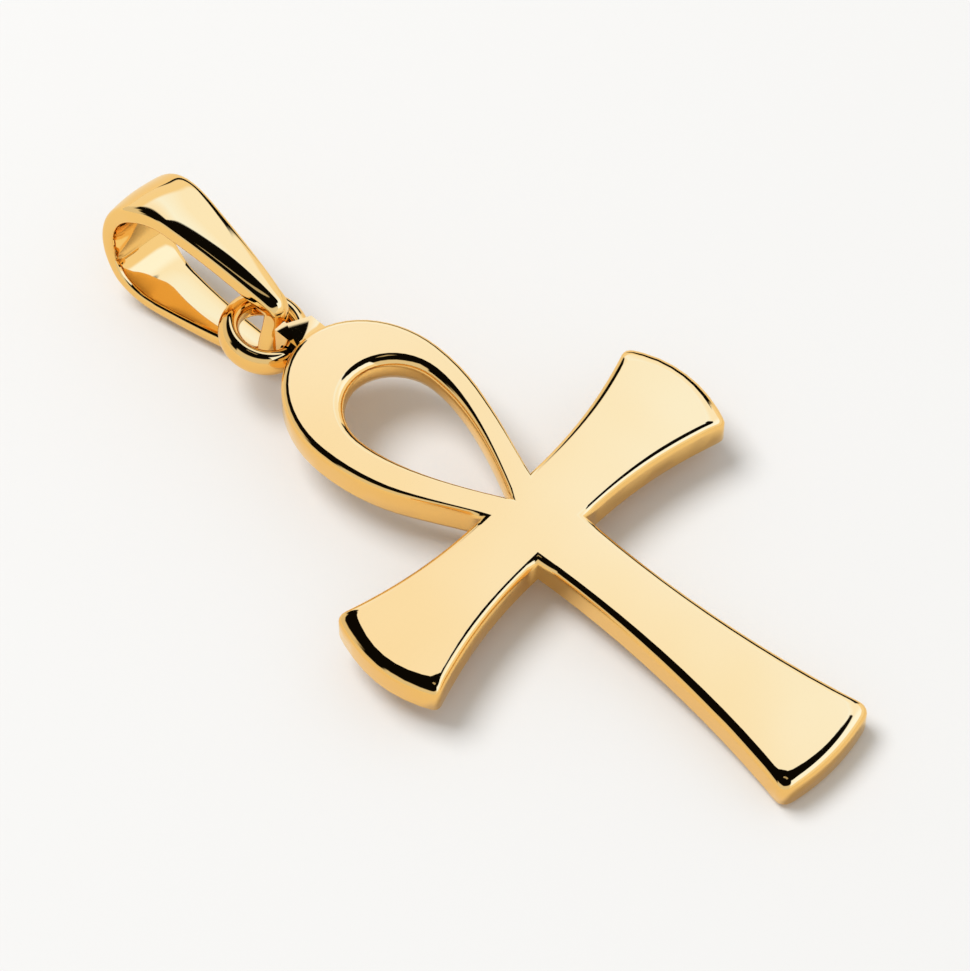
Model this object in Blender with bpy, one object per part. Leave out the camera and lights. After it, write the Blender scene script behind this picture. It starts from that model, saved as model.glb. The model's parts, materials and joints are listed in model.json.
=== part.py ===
"""An ankh pendant of polished yellow gold, lying on a table as it comes to rest.

The ankh is one cast and soldered piece with a small eye at the top of its loop. A jump ring of
oval wire joins the eye to a teardrop bail. The end of the stem and the belly of the bail
touch the table, so that the loop lies a little higher than the stem's end.

Units are metres. +X runs along the crossbar, +Y along the stem toward the bail and +Z up. The
origin lies on the table under the middle of the whole pendant.
"""
from math import acos, atan2, cos, pi, radians, sin, sqrt

import bmesh
import bpy
from mathutils import Matrix, Vector
from mathutils.geometry import interpolate_bezier

MM = 0.001

# The ankh, measured in plan from the middle of its crossing, with z = 0 on its front face.
THICKNESS = 1.45 * MM
LOOP_TOP = 10.83 * MM
LOOP_HALF_WIDTH = 3.05 * MM
LOOP_WIDEST_AT = 7.13 * MM
LOOP_SIDE_PULL = 2.40 * MM
LOOP_FOOT_PULL = 2.25 * MM
LOOP_FOOT_LEAN = radians(22.5)
LOOP_X = -0.18 * MM
LOOP_X_GROWS_OVER = 3.00 * MM
HOLE_TOP = 8.33 * MM
HOLE_HALF_WIDTH = 1.75 * MM
HOLE_WIDEST_AT = 6.48 * MM
HOLE_SIDE_PULL = 1.56 * MM
HOLE_TIP = 1.13 * MM
HOLE_TIP_PULL = 2.27 * MM
HOLE_TIP_LEAN = radians(28.0)
ARM_ROOT_X = 1.24 * MM
ARM_ROOT_HALF = 1.32 * MM
ARM_ROOT_PULL = 2.30 * MM
ARM_CORNER_X = 7.32 * MM
ARM_END_HALF = 2.34 * MM
ARM_FLARE_PULL = 2.20 * MM
ARM_FLARE = radians(18.5)
ARM_BULGE = 0.60 * MM
STEM_ROOT_PULL = 3.50 * MM
STEM_ROOT_LEAN = radians(3.3)
STEM_CORNER_Y = 13.22 * MM
STEM_END_HALF = 2.24 * MM
STEM_FLARE_PULL = 4.00 * MM
STEM_FLARE = radians(12.5)
STEM_BULGE = 0.32 * MM
ARM_UPPER_CORNER = 0.30 * MM
ARM_LOWER_CORNER = 0.25 * MM
STEM_CORNER = 0.40 * MM

# Rounding of the ankh's edges: how far it reaches in from the sides, and how far down.
LOOP_ROUNDING = 0.28 * MM
ROOT_ROUNDING = 0.26 * MM
END_ROUNDING = 0.46 * MM
FRONT_DROP = 0.34 * MM
BACK_DROP = 0.22 * MM
BACK_SHARE = 0.7
HOLE_TOP_ROUNDING = 0.42 * MM
HOLE_SIDE_ROUNDING = 0.36 * MM
HOLE_TIP_ROUNDING = 0.38 * MM
HOLE_FRONT_DROP = 0.42 * MM
HOLE_BACK_SHARE = 1.4
HOLE_BACK_DROP = 0.60 * MM

# The jump ring: oval wire, taller than it is wide, tilted a little on the eye it hangs from.
RING_WIRE = 0.78 * MM
RING_HEIGHT = 1.16 * MM
RING_RADIUS = 1.28 * MM
RING_PAST_LOOP = 1.58 * MM
RING_X = -0.48 * MM
RING_Z = -1.08 * MM
RING_SLOPE_X = 0.175
RING_SLOPE_Y = -0.113

# The eye: a small block on the loop's top, with a bore that follows the ring's wire.
EYE_LEFT = -0.55 * MM
EYE_RIGHT = -0.08 * MM
EYE_SHOULDER_RIGHT = 0.74 * MM
EYE_SHOULDER_LENGTH = 0.42 * MM
EYE_ROOT_DEPTH = 0.45 * MM
EYE_BORE_GAP = 0.06 * MM
EYE_WALL = 0.10 * MM
EYE_BELOW_FRONT = 0.12 * MM
EYE_BELOW_BACK = 0.54 * MM

# The bail: a band bent to a blunt teardrop, in side view a round belly and a low square tip.
BAIL_BELLY_RADIUS = 2.60 * MM
BAIL_TIP_HALF_HEIGHT = 1.83 * MM
BAIL_TIP_CORNER = 0.68 * MM
BAIL_INNER_TIP_CORNER = 0.10 * MM
BAIL_REACH = 5.27 * MM
BAIL_BOW = 0.10 * MM
BAIL_WALL = 0.80 * MM
BAIL_BELLY_WIDTH = 2.24 * MM
BAIL_TIP_WIDTH = 0.84 * MM
BAIL_SHOULDER = 0.20 * MM
BAIL_CROWN = 0.11 * MM
BAIL_INNER_ROUNDING = 0.08 * MM
BAIL_GAP = 0.08 * MM
BAIL_TIP_RIGHT_OF_RING = 0.32 * MM
BAIL_TIP_Z = -1.24 * MM
BAIL_PITCH = radians(2.0)
BAIL_LEAN = radians(10.0)

# How finely the curves are cut.
LOOP_STEPS = 14
HOLE_STEPS = 11
SIDE_STEPS = 12
CORNER_STEPS = 4
END_STEPS = 8
ROUNDING_STEPS = 5
BACK_STEPS = 2
RING_STEPS = 40
WIRE_SIDES = 12
BELLY_STEPS = 36
TIP_STEPS = 8
LIMB_STEPS = 9
CROWN_STEPS = 3
SHOULDER_STEPS = 4
SETTLING_STEPS = 40

GOLD_COLOUR = (0.91, 0.66, 0.33, 1.0)
GOLD_ROUGHNESS = 0.08


def clear_scene():
    """Removes whatever the scene holds."""
    for item in list(bpy.data.objects):
        bpy.data.objects.remove(item, do_unlink=True)


def gold(name):
    """A polished yellow gold of its own for one piece."""
    material = bpy.data.materials.new(name)
    material.use_nodes = True
    shader = material.node_tree.nodes["Principled BSDF"]
    shader.inputs["Base Color"].default_value = GOLD_COLOUR
    shader.inputs["Metallic"].default_value = 1.0
    shader.inputs["Roughness"].default_value = GOLD_ROUGHNESS
    return material


def curve(start, start_handle, end_handle, end, steps):
    """Points of one cubic stretch, both ends included."""
    return interpolate_bezier(start, start_handle, end_handle, end, steps + 1)


def quarter(centre_y, half_width, height, steps):
    """Quarter of an ellipse, from its top on the centre line to its right-hand side."""
    turns = [0.5 * pi * k / steps for k in range(steps + 1)]
    return [Vector((half_width * sin(t), centre_y + height * cos(t))) for t in turns]


def bulged(start, end, outward, steps):
    """A shallow arc from start to end whose middle stands out by the vector outward."""
    points = []
    for k in range(steps + 1):
        s = k / steps
        points.append(start.lerp(end, s) + outward * (4.0 * s * (1.0 - s)))
    return points


def soften(before, after, reach):
    """Joins two edges that share a corner, with the corner rounded from reach before it."""
    corner = before[-1]
    before = [p for p in before if (p - corner).length > reach * 1.01]
    after = [p for p in after if (p - corner).length > reach * 1.01]
    start = corner + (before[-1] - corner).normalized() * reach
    end = corner + (after[0] - corner).normalized() * reach
    turn = curve(start, start.lerp(corner, 0.6), end.lerp(corner, 0.6), end, CORNER_STEPS)
    return before + turn + after


def arm_edge(root, corner, side):
    """Flaring edge of an arm from its root to its corner; side is +1 above the arm, -1 below."""
    root_handle = root + Vector((ARM_ROOT_PULL, 0.0))
    flare = Vector((cos(ARM_FLARE), side * sin(ARM_FLARE)))
    return curve(root, root_handle, corner - flare * ARM_FLARE_PULL, corner, SIDE_STEPS)


def half_outline(share):
    """Right half of the ankh's edge, from the top of the loop to the middle of the stem's end.

    share is 0 at the sides and 1 where the flat front face begins.
    """
    loop_in = share * LOOP_ROUNDING
    root_in = share * ROOT_ROUNDING
    end_in = share * END_ROUNDING
    loop_side = Vector((LOOP_HALF_WIDTH - loop_in, LOOP_WIDEST_AT))
    upper_root = Vector((ARM_ROOT_X - root_in, ARM_ROOT_HALF - root_in))
    lower_root = Vector((upper_root.x, -upper_root.y))
    upper_corner = Vector((ARM_CORNER_X - end_in, ARM_END_HALF - end_in))
    lower_corner = Vector((upper_corner.x, -upper_corner.y))
    stem_corner = Vector((STEM_END_HALF - end_in, end_in - STEM_CORNER_Y))

    top = quarter(LOOP_WIDEST_AT, loop_side.x, LOOP_TOP - loop_in - LOOP_WIDEST_AT, LOOP_STEPS)
    lean = Vector((sin(LOOP_FOOT_LEAN), cos(LOOP_FOOT_LEAN)))
    side_handle = loop_side - Vector((0.0, LOOP_SIDE_PULL))
    flank = curve(loop_side, side_handle, upper_root + lean * LOOP_FOOT_PULL, upper_root, SIDE_STEPS)

    arm_top = arm_edge(upper_root, upper_corner, 1.0)
    arm_end = bulged(upper_corner, lower_corner, Vector((ARM_BULGE, 0.0)), END_STEPS)
    arm_bottom = arm_edge(lower_root, lower_corner, -1.0)[::-1]
    arm = soften(soften(arm_top, arm_end, ARM_UPPER_CORNER), arm_bottom, ARM_LOWER_CORNER)

    root_lean = Vector((-sin(STEM_ROOT_LEAN), -cos(STEM_ROOT_LEAN)))
    flare = Vector((sin(STEM_FLARE), -cos(STEM_FLARE)))
    root_handle = lower_root + root_lean * STEM_ROOT_PULL
    stem = curve(lower_root, root_handle, stem_corner - flare * STEM_FLARE_PULL, stem_corner, SIDE_STEPS)
    other_corner = Vector((-stem_corner.x, stem_corner.y))
    stem_end = bulged(stem_corner, other_corner, Vector((0.0, -STEM_BULGE)), 2 * END_STEPS)
    stem = soften(stem, stem_end[:END_STEPS + 1], STEM_CORNER)
    return top[:-1] + flank[:-1] + arm[:-1] + stem


def half_hole(share):
    """Right half of the edge of the loop's opening, from its top to its pointed tip."""
    side = Vector((HOLE_HALF_WIDTH + share * HOLE_SIDE_ROUNDING, HOLE_WIDEST_AT))
    tip = Vector((0.0, HOLE_TIP - share * HOLE_TIP_ROUNDING))
    height = HOLE_TOP + share * HOLE_TOP_ROUNDING - HOLE_WIDEST_AT
    top = quarter(HOLE_WIDEST_AT, side.x, height, HOLE_STEPS)
    lean = Vector((sin(HOLE_TIP_LEAN), cos(HOLE_TIP_LEAN)))
    side_handle = side - Vector((0.0, HOLE_SIDE_PULL))
    flank = curve(side, side_handle, tip + lean * HOLE_TIP_PULL, tip, SIDE_STEPS)
    return top[:-1] + flank


def mirrored(half):
    """The closed outline made of a right half, from the centre line to the centre line."""
    return half + [Vector((-p.x, p.y)) for p in half[-2:0:-1]]


def outline(share):
    """The ankh's whole edge; its loop stands a little to the left of the stem's middle line."""
    points = mirrored(half_outline(share))
    for point in points:
        rise = (point.y - ARM_ROOT_HALF) / LOOP_X_GROWS_OVER
        point.x += LOOP_X * min(max(rise, 0.0), 1.0)
    return points


def hole(share):
    """The whole edge of the loop's opening."""
    return mirrored(half_hole(share))


def rounding_levels(front_drop, back_share, back_drop):
    """Share and height of each level of an edge, from the front face to the back."""
    levels = []
    for k in range(ROUNDING_STEPS + 1):
        turn = 0.5 * pi * k / ROUNDING_STEPS
        levels.append((1.0 - sin(turn), -front_drop * (1.0 - cos(turn))))
    for k in range(BACK_STEPS + 1):
        turn = 0.5 * pi * k / BACK_STEPS
        levels.append((back_share * (1.0 - cos(turn)), back_drop * (1.0 - sin(turn)) - THICKNESS))
    return levels


def stack(bm, contour, levels):
    """Walls through one contour at each level; returns the edges of the first and last loops."""
    loops = []
    for share, z in levels:
        loops.append([bm.verts.new((p.x, p.y, z)) for p in contour(share)])
    count = len(loops[0])
    for upper, lower in zip(loops, loops[1:]):
        for k in range(count):
            after = (k + 1) % count
            bm.faces.new((upper[k], upper[after], lower[after], lower[k]))
    ends = []
    for loop in (loops[0], loops[-1]):
        ends.append([bm.edges.get((loop[k - 1], loop[k])) for k in range(count)])
    return ends


def new_object(name, mesh):
    """Links a new object that has its own gold."""
    item = bpy.data.objects.new(name, mesh)
    bpy.context.collection.objects.link(item)
    item.data.materials.append(gold(name + "_gold"))
    return item


def mesh_from(bm, name):
    """Turns a closed bmesh into a mesh with its faces pointing out and smooth round parts."""
    bmesh.ops.recalc_face_normals(bm, faces=bm.faces)
    mesh = bpy.data.meshes.new(name)
    bm.to_mesh(mesh)
    bm.free()
    mesh.shade_smooth()
    mesh.set_sharp_from_angle(angle=radians(35.0))
    return mesh


def ankh_plate():
    """The ankh itself: a flat plate with rounded edges and the loop's opening."""
    bm = bmesh.new()
    outer_levels = rounding_levels(FRONT_DROP, BACK_SHARE, BACK_DROP)
    hole_levels = rounding_levels(HOLE_FRONT_DROP, HOLE_BACK_SHARE, HOLE_BACK_DROP)
    outer_front, outer_back = stack(bm, outline, outer_levels)
    hole_front, hole_back = stack(bm, hole, hole_levels)
    for edges in (outer_front + hole_front, outer_back + hole_back):
        bmesh.ops.triangle_fill(bm, edges=edges, use_beauty=True)
    return new_object("ankh", mesh_from(bm, "ankh"))


def ring_matrix():
    """Place of the jump ring, whose wire runs through the eye's bore at the loop's top."""
    centre = Vector((RING_X, LOOP_TOP + RING_PAST_LOOP, RING_Z))
    tilt = Vector((0.0, 0.0, 1.0)).rotation_difference(Vector((RING_SLOPE_X, RING_SLOPE_Y, 1.0)))
    return Matrix.Translation(centre) @ tilt.to_matrix().to_4x4()


def torus(name, wider):
    """A ring at the jump ring's place whose section is that of its wire and wider all round."""
    width = RING_WIRE + 2 * wider
    bpy.ops.mesh.primitive_torus_add(
        major_radius=RING_RADIUS, minor_radius=width / 2,
        major_segments=RING_STEPS, minor_segments=WIRE_SIDES)
    item = bpy.context.object
    item.data.transform(Matrix.Diagonal((1.0, 1.0, (RING_HEIGHT + 2 * wider) / width, 1.0)))
    item.name = name
    item.data.name = name
    item.matrix_world = ring_matrix()
    item.data.shade_smooth()
    return item


def eye_far_end():
    """Where the eye ends toward the bail: its wall past the ring's bore, at its right side."""
    centre_y = ring_matrix().translation.y
    reach = RING_RADIUS - RING_WIRE / 2 - EYE_BORE_GAP
    offset = max(abs(EYE_LEFT - RING_X), abs(EYE_RIGHT - RING_X))
    return centre_y - sqrt(max(reach * reach - offset * offset, 0.0)) + EYE_WALL


def eye_block():
    """Plan of the eye as a prism: a narrow part over the wire and a shoulder on its right."""
    root = LOOP_TOP - EYE_ROOT_DEPTH
    shoulder = LOOP_TOP + EYE_SHOULDER_LENGTH
    plan = [
        (EYE_LEFT, root),
        (EYE_SHOULDER_RIGHT, root),
        (EYE_SHOULDER_RIGHT, shoulder),
        (EYE_RIGHT, shoulder + (EYE_SHOULDER_RIGHT - EYE_RIGHT) / 2),
        (EYE_RIGHT, eye_far_end()),
        (EYE_LEFT, eye_far_end()),
    ]
    bottom = -THICKNESS - EYE_BELOW_BACK
    bm = bmesh.new()
    base = bm.faces.new([bm.verts.new((x, y, bottom)) for x, y in plan])
    raised = bmesh.ops.extrude_face_region(bm, geom=[base])["geom"]
    lift = Vector((0.0, 0.0, -EYE_BELOW_FRONT - bottom))
    bmesh.ops.translate(bm, vec=lift, verts=[v for v in raised if isinstance(v, bmesh.types.BMVert)])
    return new_object("eye_block", mesh_from(bm, "eye_block"))


def use_tool(target, tool, operation):
    """Adds or cuts a helper shape, which stays in the scene as a wire outline."""
    tool.hide_render = True
    tool.display_type = "WIRE"
    modifier = target.modifiers.new(tool.name, "BOOLEAN")
    modifier.operation = operation
    modifier.solver = "EXACT"
    modifier.object = tool


def bail_contour(inset):
    """Side view of the bail's band as (along, up) from the belly's centre, tip at -along."""
    belly = BAIL_BELLY_RADIUS - inset
    corner = max(BAIL_TIP_CORNER - inset, BAIL_INNER_TIP_CORNER)
    into = corner + inset
    corner_centre = Vector((into - BAIL_REACH, BAIL_TIP_HALF_HEIGHT - into))
    start = atan2(corner_centre.y, corner_centre.x) - acos((belly - corner) / corner_centre.length)
    points = []
    for k in range(BELLY_STEPS + 1):
        turn = start * (2.0 * k / BELLY_STEPS - 1.0)
        points.append(Vector((belly * cos(turn), belly * sin(turn))))
    upper_tip = []
    for k in range(TIP_STEPS + 1):
        turn = start + (pi - start) * k / TIP_STEPS
        upper_tip.append(corner_centre + Vector((cos(turn), sin(turn))) * corner)
    lower_tip = [Vector((p.x, -p.y)) for p in upper_tip[::-1]]
    upward = Vector((cos(start), sin(start))) * BAIL_BOW
    downward = Vector((upward.x, -upward.y))
    upper = bulged(points[-1], upper_tip[0], upward, LIMB_STEPS)
    lower = bulged(lower_tip[-1], points[0], downward, LIMB_STEPS)
    return points + upper[1:-1] + upper_tip + lower_tip + lower[1:-1]


def bail_section(half_width):
    """Section of the band as (across, depth), once around, depth counted from its outer face."""
    crowned = half_width - BAIL_SHOULDER
    half = []
    for k in range(1, CROWN_STEPS):
        half.append((crowned * k / CROWN_STEPS, BAIL_CROWN * (k / CROWN_STEPS) ** 2))
    for k in range(SHOULDER_STEPS + 1):
        turn = 0.5 * pi * k / SHOULDER_STEPS
        across = half_width - BAIL_SHOULDER * (1.0 - sin(turn))
        half.append((across, BAIL_CROWN + BAIL_SHOULDER * (1.0 - cos(turn))))
    half.append((half_width, BAIL_WALL - BAIL_INNER_ROUNDING))
    half.append((half_width - BAIL_INNER_ROUNDING, BAIL_WALL))
    middle = [(0.0, 0.0)]
    return middle + half + [(-across, depth) for across, depth in half[::-1]]


def bail():
    """The teardrop bail, narrow at its tip and widest at its belly."""
    outer = bail_contour(0.0)
    inner = bail_contour(BAIL_WALL)
    bm = bmesh.new()
    sections = []
    for out, into in zip(outer, inner):
        share = min(max(1.0 + out.x / BAIL_REACH, 0.0), 1.3)
        width = BAIL_TIP_WIDTH + (BAIL_BELLY_WIDTH - BAIL_TIP_WIDTH) * share
        section = []
        for across, depth in bail_section(width / 2):
            point = out.lerp(into, depth / BAIL_WALL)
            section.append(bm.verts.new((across, point.x, point.y)))
        sections.append(section)
    for k, section in enumerate(sections):
        before = sections[k - 1]
        for j in range(len(section)):
            bm.faces.new((before[j - 1], before[j], section[j], section[j - 1]))
    item = new_object("bail", mesh_from(bm, "bail"))
    item.matrix_world = bail_matrix()
    return item


def bail_matrix():
    """Place of the bail: its tip hangs inside the jump ring, just past the eye."""
    turn = Matrix.Rotation(BAIL_LEAN, 4, "Y") @ Matrix.Rotation(BAIL_PITCH, 4, "X")
    tip = Vector((RING_X + BAIL_TIP_RIGHT_OF_RING, eye_far_end() + BAIL_GAP, BAIL_TIP_Z))
    belly_centre = tip + turn.to_3x3() @ Vector((0.0, BAIL_REACH, 0.0))
    return Matrix.Translation(belly_centre) @ turn


def corners_of(item):
    """All mesh corners of one object in the scene's frame."""
    return [item.matrix_world @ vertex.co for vertex in item.data.vertices]


def lowest(points, tilt):
    """Lowest height among points once they are turned about the crossbar's direction."""
    return min(sin(tilt) * p.y + cos(tilt) * p.z for p in points)


def settle(foot, belly):
    """The tilt at which the stem's end and the bail's belly both touch the table."""
    low, high = 0.0, radians(30.0)
    for _ in range(SETTLING_STEPS):
        middle = (low + high) / 2
        if lowest(foot, middle) > lowest(belly, middle):
            low = middle
        else:
            high = middle
    return low


def main():
    clear_scene()
    ankh = ankh_plate()
    block = eye_block()
    bore = torus("eye_bore", EYE_BORE_GAP)
    use_tool(ankh, block, "UNION")
    use_tool(ankh, bore, "DIFFERENCE")
    ring = torus("jump_ring", 0.0)
    ring.data.materials.append(gold("jump_ring_gold"))
    band = bail()

    ankh_corners = corners_of(ankh)
    bail_corners = corners_of(band)
    tilt = settle(ankh_corners, bail_corners)
    turn = Matrix.Rotation(tilt, 4, "X")
    everything = [turn @ p for p in ankh_corners + bail_corners + corners_of(ring)]
    centre_x = (min(p.x for p in everything) + max(p.x for p in everything)) / 2
    centre_y = (min(p.y for p in everything) + max(p.y for p in everything)) / 2
    floor = min(p.z for p in everything)

    rest = bpy.data.objects.new("pendant_at_rest", None)
    bpy.context.collection.objects.link(rest)
    rest.matrix_world = Matrix.Translation((-centre_x, -centre_y, -floor)) @ turn
    for item in (ankh, block, bore, ring, band):
        item.parent = rest


main()
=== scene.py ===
"""Polished gold ankh pendant on a pale table, under soft studio light."""
import json
from math import cos, radians, sin

import bpy
from mathutils import Matrix, Vector


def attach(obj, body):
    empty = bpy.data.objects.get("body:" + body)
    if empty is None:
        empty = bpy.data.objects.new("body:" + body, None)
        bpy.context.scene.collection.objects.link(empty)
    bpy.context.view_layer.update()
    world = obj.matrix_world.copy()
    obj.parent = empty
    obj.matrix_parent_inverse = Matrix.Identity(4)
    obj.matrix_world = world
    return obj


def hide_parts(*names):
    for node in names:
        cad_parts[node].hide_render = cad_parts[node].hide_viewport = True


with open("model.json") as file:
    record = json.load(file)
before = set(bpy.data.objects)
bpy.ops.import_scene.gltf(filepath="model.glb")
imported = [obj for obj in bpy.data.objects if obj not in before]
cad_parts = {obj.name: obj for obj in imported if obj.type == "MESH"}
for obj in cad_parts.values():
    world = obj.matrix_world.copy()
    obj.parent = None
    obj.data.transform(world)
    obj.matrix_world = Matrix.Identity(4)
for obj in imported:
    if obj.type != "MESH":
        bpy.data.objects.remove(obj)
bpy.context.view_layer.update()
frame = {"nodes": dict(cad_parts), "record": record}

MM = 0.001
ANKH_THICKNESS = 1.45 * MM

# The camera, placed from the middle of the ankh's front face: turned about the face's normal,
# raised above the face, and moved back, right and up by what the photograph's framing needs.
CAMERA_ELEVATION = radians(59.089)
CAMERA_AZIMUTH = radians(47.259)
CAMERA_DISTANCE = 170.76 * MM
CAMERA_RIGHT = -1.622 * MM
CAMERA_UP = 0.958 * MM
CAMERA_CENTRE = Vector((0.0, 0.08 * MM, 0.0))
FOCAL_PIXELS = 5000.0
PHOTO_WIDTH = 970
SENSOR_WIDTH = 36.0

# The lamp over the table.
LAMP_TOWARD = Vector((-0.10, 0.43, 0.88)).normalized()
LAMP_DISTANCE = 0.8
LAMP_SIZE = 0.48
LAMP_POWER = 4.55

# The sockets of a Mix node that holds colours.
MIX_UNDER, MIX_OVER, MIX_RESULT = 6, 7, 2


def only(piece):
    """Selects one piece alone and makes it active."""
    bpy.ops.object.select_all(action="DESELECT")
    piece.select_set(True)
    bpy.context.view_layer.objects.active = piece


def rest_plane():
    """Place and turn of the ankh's front face, read from the record's mount on its back."""
    mount = frame["record"]["mounts"][0]
    normal = -Vector(mount["axis"])
    across = Vector((1.0, 0.0, 0.0))
    along = normal.cross(across)
    turn = Matrix((across, along, normal)).transposed().to_4x4()
    return Matrix.Translation(Vector(mount["pos_m"]) + normal * ANKH_THICKNESS) @ turn


def merged_copy(node):
    """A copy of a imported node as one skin, which stands for that node."""
    only(frame["nodes"][node])
    bpy.ops.object.duplicate()
    piece = bpy.context.object
    piece.name = "polished_" + node
    piece.data.name = piece.name
    only(piece)
    bpy.ops.object.mode_set(mode="EDIT")
    bpy.ops.mesh.select_all(action="SELECT")
    bpy.ops.mesh.remove_doubles(threshold=1e-7)
    bpy.ops.object.mode_set(mode="OBJECT")
    return piece


def cast_ankh():
    """The ankh: its flat faces made whole and its rounded edges shaded evenly."""
    piece = merged_copy("ankh")
    bpy.ops.object.mode_set(mode="EDIT")
    bpy.ops.mesh.select_all(action="SELECT")
    bpy.ops.mesh.dissolve_limited(angle_limit=radians(0.05))
    bpy.ops.object.mode_set(mode="OBJECT")
    bpy.ops.object.shade_smooth_by_angle(angle=radians(38.0))
    even = piece.modifiers.new("even shading", "WEIGHTED_NORMAL")
    even.mode = "FACE_AREA"
    even.weight = 100
    even.keep_sharp = True
    bpy.ops.object.modifier_apply(modifier=even.name)
    return piece


def bent_piece(node, smoothing):
    """The ring or the bail: its grid of four-sided faces, evened along its bend and drawn smooth."""
    piece = merged_copy(node)
    bpy.ops.object.mode_set(mode="EDIT")
    bpy.ops.mesh.select_all(action="SELECT")
    bpy.ops.mesh.tris_convert_to_quads(face_threshold=radians(40.0), shape_threshold=radians(70.0))
    if smoothing:
        bpy.ops.mesh.vertices_smooth(factor=0.5, repeat=smoothing, xaxis=False, yaxis=True, zaxis=True)
    bpy.ops.mesh.normals_make_consistent(inside=False)
    bpy.ops.object.mode_set(mode="OBJECT")
    smooth = piece.modifiers.new("smooth metal", "SUBSURF")
    smooth.levels = smooth.render_levels = 2
    bpy.ops.object.modifier_apply(modifier=smooth.name)
    bpy.ops.object.shade_smooth()
    return piece


def socket(group, name, kind, way, value=None):
    """One named input or output of a finish's node group."""
    item = group.interface.new_socket(name=name, in_out=way, socket_type=kind)
    if value is not None:
        item.default_value = value


def polishing_group():
    """Marks of casting and polishing: shallow waves, and fine lines left by the polishing wheel."""
    group = bpy.data.node_groups.new("polished casting", "ShaderNodeTree")
    socket(group, "Vector", "NodeSocketVector", "INPUT")
    socket(group, "Wave Scale", "NodeSocketFloat", "INPUT", 300.0)
    socket(group, "Line Scale", "NodeSocketFloat", "INPUT", 9000.0)
    socket(group, "Line Share", "NodeSocketFloat", "INPUT", 0.04)
    socket(group, "Height", "NodeSocketFloat", "OUTPUT")
    socket(group, "Lines", "NodeSocketFloat", "OUTPUT")
    socket(group, "Clouds", "NodeSocketFloat", "OUTPUT")
    nodes, links = group.nodes, group.links
    given = nodes.new("NodeGroupInput")
    made = nodes.new("NodeGroupOutput")

    waves = nodes.new("ShaderNodeTexNoise")
    waves.inputs["Detail"].default_value = 1.0
    links.new(given.outputs["Vector"], waves.inputs["Vector"])
    links.new(given.outputs["Wave Scale"], waves.inputs["Scale"])

    along = nodes.new("ShaderNodeMapping")
    along.inputs["Rotation"].default_value = (0.0, 0.0, radians(28.0))
    along.inputs["Scale"].default_value = (0.03, 1.0, 1.0)
    links.new(given.outputs["Vector"], along.inputs["Vector"])
    lines = nodes.new("ShaderNodeTexNoise")
    lines.inputs["Detail"].default_value = 3.0
    links.new(along.outputs["Vector"], lines.inputs["Vector"])
    links.new(given.outputs["Line Scale"], lines.inputs["Scale"])

    height = nodes.new("ShaderNodeMath")
    height.operation = "MULTIPLY_ADD"
    links.new(lines.outputs["Fac"], height.inputs[0])
    links.new(given.outputs["Line Share"], height.inputs[1])
    links.new(waves.outputs["Fac"], height.inputs[2])

    clouds = nodes.new("ShaderNodeTexNoise")
    clouds.inputs["Scale"].default_value = 110.0
    clouds.inputs["Detail"].default_value = 2.0
    links.new(given.outputs["Vector"], clouds.inputs["Vector"])

    links.new(height.outputs[0], made.inputs["Height"])
    links.new(lines.outputs["Fac"], made.inputs["Lines"])
    links.new(clouds.outputs["Fac"], made.inputs["Clouds"])
    return group


def polished_gold(name, polish, deep, pale, wave_scale, wave_height, dullness):
    """Yellow gold with a mirror polish: two close tones, faint waves and hairline marks."""
    material = bpy.data.materials.new(name)
    material.use_nodes = True
    nodes, links = material.node_tree.nodes, material.node_tree.links
    shader = nodes["Principled BSDF"]
    shader.inputs["Metallic"].default_value = 1.0
    place = nodes.new("ShaderNodeTexCoord")
    marks = nodes.new("ShaderNodeGroup")
    marks.node_tree = polish
    marks.inputs["Wave Scale"].default_value = wave_scale
    links.new(place.outputs["Object"], marks.inputs["Vector"])

    tone = nodes.new("ShaderNodeValToRGB")
    tone.color_ramp.elements[0].position = 0.30
    tone.color_ramp.elements[0].color = deep
    tone.color_ramp.elements[1].position = 0.70
    tone.color_ramp.elements[1].color = pale
    links.new(marks.outputs["Clouds"], tone.inputs["Fac"])
    links.new(tone.outputs["Color"], shader.inputs["Base Color"])

    shine = nodes.new("ShaderNodeMapRange")
    shine.inputs["From Min"].default_value = 0.35
    shine.inputs["From Max"].default_value = 0.75
    shine.inputs["To Min"].default_value = dullness * 0.6
    shine.inputs["To Max"].default_value = dullness * 1.6
    links.new(marks.outputs["Lines"], shine.inputs["Value"])
    links.new(shine.outputs["Result"], shader.inputs["Roughness"])

    relief = nodes.new("ShaderNodeBump")
    relief.inputs["Strength"].default_value = 1.0
    relief.inputs["Distance"].default_value = wave_height
    links.new(marks.outputs["Height"], relief.inputs["Height"])
    links.new(relief.outputs["Normal"], shader.inputs["Normal"])
    return material


def table():
    """The pale table, far larger than the view; the gold sees it a little warmer than the camera does, a
    painted reflection tint that stands in for light bounced off the gold.
    """
    bpy.ops.mesh.primitive_plane_add(size=3.0, location=(0.0, 0.0, 0.0))
    top = bpy.context.object
    top.name = "table"
    material = bpy.data.materials.new("pale table")
    material.use_nodes = True
    nodes, links = material.node_tree.nodes, material.node_tree.links
    shader = nodes["Principled BSDF"]
    shader.inputs["Roughness"].default_value = 0.9
    shader.inputs["Specular IOR Level"].default_value = 0.0
    ray = nodes.new("ShaderNodeLightPath")
    # Painted reflection: glossy rays see the table warmer, standing in for warm light bounced off the
    # gold.
    painted_bounce_warmth = nodes.new("ShaderNodeMix")
    painted_bounce_warmth.data_type = "RGBA"
    painted_bounce_warmth.inputs[MIX_UNDER].default_value = (0.80, 0.80, 0.80, 1.0)
    painted_bounce_warmth.inputs[MIX_OVER].default_value = (0.80, 0.73, 0.58, 1.0)
    links.new(ray.outputs["Is Glossy Ray"], painted_bounce_warmth.inputs["Factor"])
    links.new(painted_bounce_warmth.outputs[MIX_RESULT], shader.inputs["Base Color"])
    top.data.materials.append(material)


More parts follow.
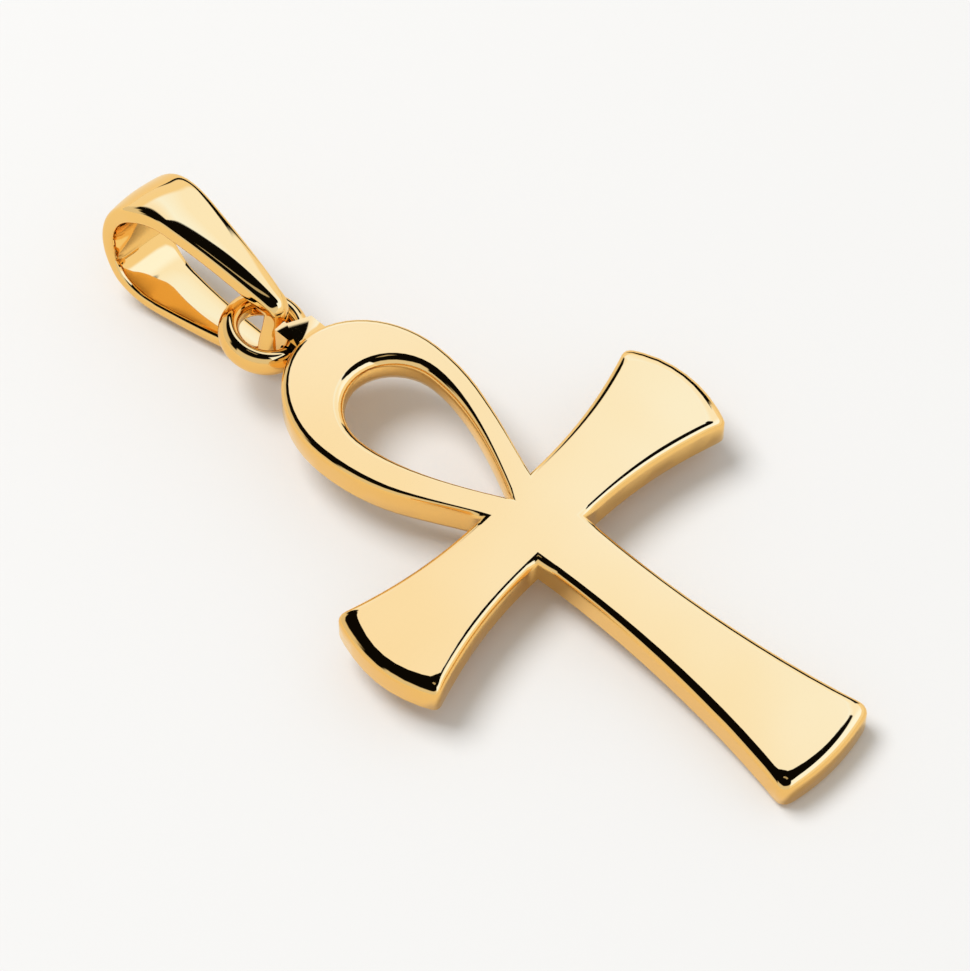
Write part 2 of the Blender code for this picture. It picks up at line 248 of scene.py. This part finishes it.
def camera():
    """The camera, at the photograph's angle above the pendant."""
    across = Vector((cos(CAMERA_AZIMUTH), -sin(CAMERA_AZIMUTH), 0.0))
    ahead = Vector((sin(CAMERA_AZIMUTH), cos(CAMERA_AZIMUTH), 0.0))
    upright = Vector((0.0, 0.0, 1.0))
    up = ahead * sin(CAMERA_ELEVATION) + upright * cos(CAMERA_ELEVATION)
    back = upright * sin(CAMERA_ELEVATION) - ahead * cos(CAMERA_ELEVATION)
    turn = Matrix((across, up, back)).transposed().to_4x4()
    place = back * CAMERA_DISTANCE + across * CAMERA_RIGHT + up * CAMERA_UP + CAMERA_CENTRE
    data = bpy.data.cameras.new("camera")
    data.sensor_fit = "HORIZONTAL"
    data.sensor_width = SENSOR_WIDTH
    data.lens = SENSOR_WIDTH * FOCAL_PIXELS / PHOTO_WIDTH
    data.clip_start = 0.01
    item = bpy.data.objects.new("camera", data)
    bpy.context.scene.collection.objects.link(item)
    item.matrix_world = rest_plane() @ Matrix.Translation(place) @ turn
    bpy.context.scene.camera = item


# The colours of the studio's panels. The gold takes blue out, so the white ones are a little blue.
DARK = (0.004, 0.004, 0.004, 1.0)
PALE = (0.80, 0.80, 0.80, 1.0)
NEAR_PALE = (0.80, 0.84, 0.92, 1.0)
HIGHLIGHT = (1.08, 1.44, 2.55, 1.0)
LOW_WALL = (1.0, 0.98, 0.94, 1.0)
ZENITH_GREY = (0.50, 0.50, 0.50, 1.0)
WALL_FROM, WALL_TO = -0.06, 0.44
WALL_STOPS = (
    (0.0, (1.05, 1.19, 1.68, 1.0)),
    (0.10, (1.05, 1.235, 1.86, 1.0)),
    (0.26, (1.04, 1.38, 2.45, 1.0)),
    (0.75, (1.05, 1.25, 1.85, 1.0)),
)
TABLE_LIGHT = (0.575, 0.563, 0.530, 1.0)

# Each edge of a panel: the direction it faces as (right, far, up), where along that direction
# the edge stands, and how soft it is.
WHITE_WALL_EDGE = ((0.849, 0.446, -0.283), -0.055, 0.012)
LOW_WALL_TOP = ((0.0, 0.0, -1.0), -0.40, 0.06)
HIGHLIGHT_SIDE = ((0.90, -0.43, 0.0), 0.45, 0.15)
LEFT_GLOW_TOP = ((0.0, 0.0, -1.0), -0.33, 0.04)
SIDE_GLOW_TOP = ((0.0, 0.0, -1.0), -0.60, 0.05)
FAR_GLOW_NEAR_SIDE = ((-0.50, 0.866, 0.0), 0.30, 0.08)
FAR_GLOW_FAR_SIDE = ((-0.839, -0.545, 0.0), 0.07, 0.05)
NEAR_GLOW_SIDE = ((0.530, -0.848, 0.0), 0.02, 0.04)
LOW_DARK_EDGE = ((0.583, 0.116, -0.804), -0.05, 0.012)
LOW_DARK_SIDE = ((-0.809, 0.588, 0.0), 0.0, 0.02)
OVERHEAD_EDGE = ((0.09, 0.03, 0.9955), 0.9352, 0.005)
OVERHEAD_RIGHT_EDGE = ((0.25, -0.05, 0.967), 0.925, 0.005)
ZENITH_GAP_EDGE = ((0.107, -0.099, 0.989), 0.9930, 0.0012)
ZENITH_GAP_LEFT = ((0.679, 0.734, 0.0), -0.058, 0.012)
ZENITH_GAP_RIGHT = ((-0.679, -0.734, 0.0), -0.058, 0.012)


def reach(tree, direction, facing):
    """How far a direction points the way that an edge faces, from -1 to 1."""
    dot = tree.nodes.new("ShaderNodeVectorMath")
    dot.operation = "DOT_PRODUCT"
    dot.inputs[1].default_value = facing
    tree.links.new(direction, dot.inputs[0])
    return dot.outputs["Value"]


def inside(tree, direction, edges):
    """1 where a direction lies past all of a panel's edges and 0 outside the panel."""
    share = None
    for facing, at, softness in edges:
        ramp = tree.nodes.new("ShaderNodeMapRange")
        ramp.interpolation_type = "SMOOTHSTEP"
        ramp.inputs["From Min"].default_value = at - softness
        ramp.inputs["From Max"].default_value = at + softness
        tree.links.new(reach(tree, direction, facing), ramp.inputs["Value"])
        if share is None:
            share = ramp.outputs["Result"]
            continue
        product = tree.nodes.new("ShaderNodeMath")
        product.operation = "MULTIPLY"
        tree.links.new(share, product.inputs[0])
        tree.links.new(ramp.outputs["Result"], product.inputs[1])
        share = product.outputs[0]
    return share


def painted(tree, under, colour, where):
    """Lays one panel's colour over what is there."""
    mix = tree.nodes.new("ShaderNodeMix")
    mix.data_type = "RGBA"
    tree.links.new(where, mix.inputs["Factor"])
    for value, slot in ((under, mix.inputs[MIX_UNDER]), (colour, mix.inputs[MIX_OVER])):
        if isinstance(value, tuple):
            slot.default_value = value
        else:
            tree.links.new(value, slot)
    return mix.outputs[MIX_RESULT]


def wall_colour(tree, direction):
    """The white wall's colour: warmer by its edge, coolest a little way in."""
    along = tree.nodes.new("ShaderNodeMapRange")
    along.inputs["From Min"].default_value = WALL_FROM
    along.inputs["From Max"].default_value = WALL_TO
    tree.links.new(reach(tree, direction, WHITE_WALL_EDGE[0]), along.inputs["Value"])
    ramp = tree.nodes.new("ShaderNodeValToRGB")
    tree.links.new(along.outputs["Result"], ramp.inputs["Fac"])
    stops = ramp.color_ramp.elements
    stops[0].position, stops[0].color = WALL_STOPS[0]
    stops[1].position, stops[1].color = WALL_STOPS[-1]
    for at, colour in WALL_STOPS[1:-1]:
        stops.new(at).color = colour
    return ramp.outputs["Color"]


def studio():
    """What the gold mirrors: a white wall to the right, a low glow and a dark gap to the left, and
    a dark overhead with one grey gap. The table gets an even light instead."""
    world = bpy.data.worlds.new("studio")
    bpy.context.scene.world = world
    world.use_nodes = True
    tree = world.node_tree
    place = tree.nodes.new("ShaderNodeTexCoord")
    turn = tree.nodes.new("ShaderNodeMapping")
    turn.vector_type = "POINT"
    turn.inputs["Rotation"].default_value = (0.0, 0.0, CAMERA_AZIMUTH)
    tree.links.new(place.outputs["Generated"], turn.inputs["Vector"])
    toward = turn.outputs["Vector"]

    # Each panel is laid over the ones before it.
    panels = (
        (PALE, (LEFT_GLOW_TOP,)),
        (PALE, (SIDE_GLOW_TOP, FAR_GLOW_NEAR_SIDE, FAR_GLOW_FAR_SIDE)),
        (NEAR_PALE, (SIDE_GLOW_TOP, NEAR_GLOW_SIDE)),
        (wall_colour(tree, toward), (WHITE_WALL_EDGE,)),
        (HIGHLIGHT, (WHITE_WALL_EDGE, HIGHLIGHT_SIDE)),
        (LOW_WALL, (WHITE_WALL_EDGE, LOW_WALL_TOP)),
        (DARK, (LOW_DARK_EDGE, LOW_DARK_SIDE)),
        (DARK, (OVERHEAD_EDGE,)),
        (DARK, (OVERHEAD_RIGHT_EDGE,)),
        (ZENITH_GREY, (ZENITH_GAP_EDGE, ZENITH_GAP_LEFT, ZENITH_GAP_RIGHT)),
    )
    sky = DARK
    for colour, edges in panels:
        sky = painted(tree, sky, colour, inside(tree, toward, edges))
    ray = tree.nodes.new("ShaderNodeLightPath")
    sky = painted(tree, sky, TABLE_LIGHT, ray.outputs["Is Diffuse Ray"])
    tree.links.new(sky, tree.nodes["Background"].inputs["Color"])


def key_light():
    """The large soft lamp that lights the table, high beyond the pendant."""
    data = bpy.data.lights.new("key", "AREA")
    data.shape = "DISK"
    data.size = LAMP_SIZE
    data.energy = LAMP_POWER
    item = bpy.data.objects.new("key", data)
    bpy.context.scene.collection.objects.link(item)
    item.location = LAMP_TOWARD * LAMP_DISTANCE
    item.rotation_euler = LAMP_TOWARD.to_track_quat("Z", "Y").to_euler()
    item.visible_glossy = False


polish = polishing_group()
finishes = {
    "ankh": polished_gold(
        "cast gold", polish, deep=(0.920, 0.580, 0.195, 1.0), pale=(0.935, 0.635, 0.255, 1.0),
        wave_scale=230.0, wave_height=0.014 * MM, dullness=0.03),
    "jump_ring": polished_gold(
        "drawn gold wire", polish, deep=(0.905, 0.560, 0.180, 1.0), pale=(0.925, 0.600, 0.220, 1.0),
        wave_scale=700.0, wave_height=0.002 * MM, dullness=0.04),
    "bail": polished_gold(
        "rolled gold", polish, deep=(0.920, 0.595, 0.210, 1.0), pale=(0.930, 0.630, 0.245, 1.0),
        wave_scale=420.0, wave_height=0.003 * MM, dullness=0.03),
}
pieces = {
    "ankh": cast_ankh(),
    "jump_ring": bent_piece("jump_ring", smoothing=0),
    "bail": bent_piece("bail", smoothing=4),
}
for node, piece in pieces.items():
    piece.data.materials.clear()
    piece.data.materials.append(finishes[node])
    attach(piece, "root")
    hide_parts(node)

table()
camera()
studio()
key_light()
bpy.context.scene.view_settings.view_transform = "Standard"
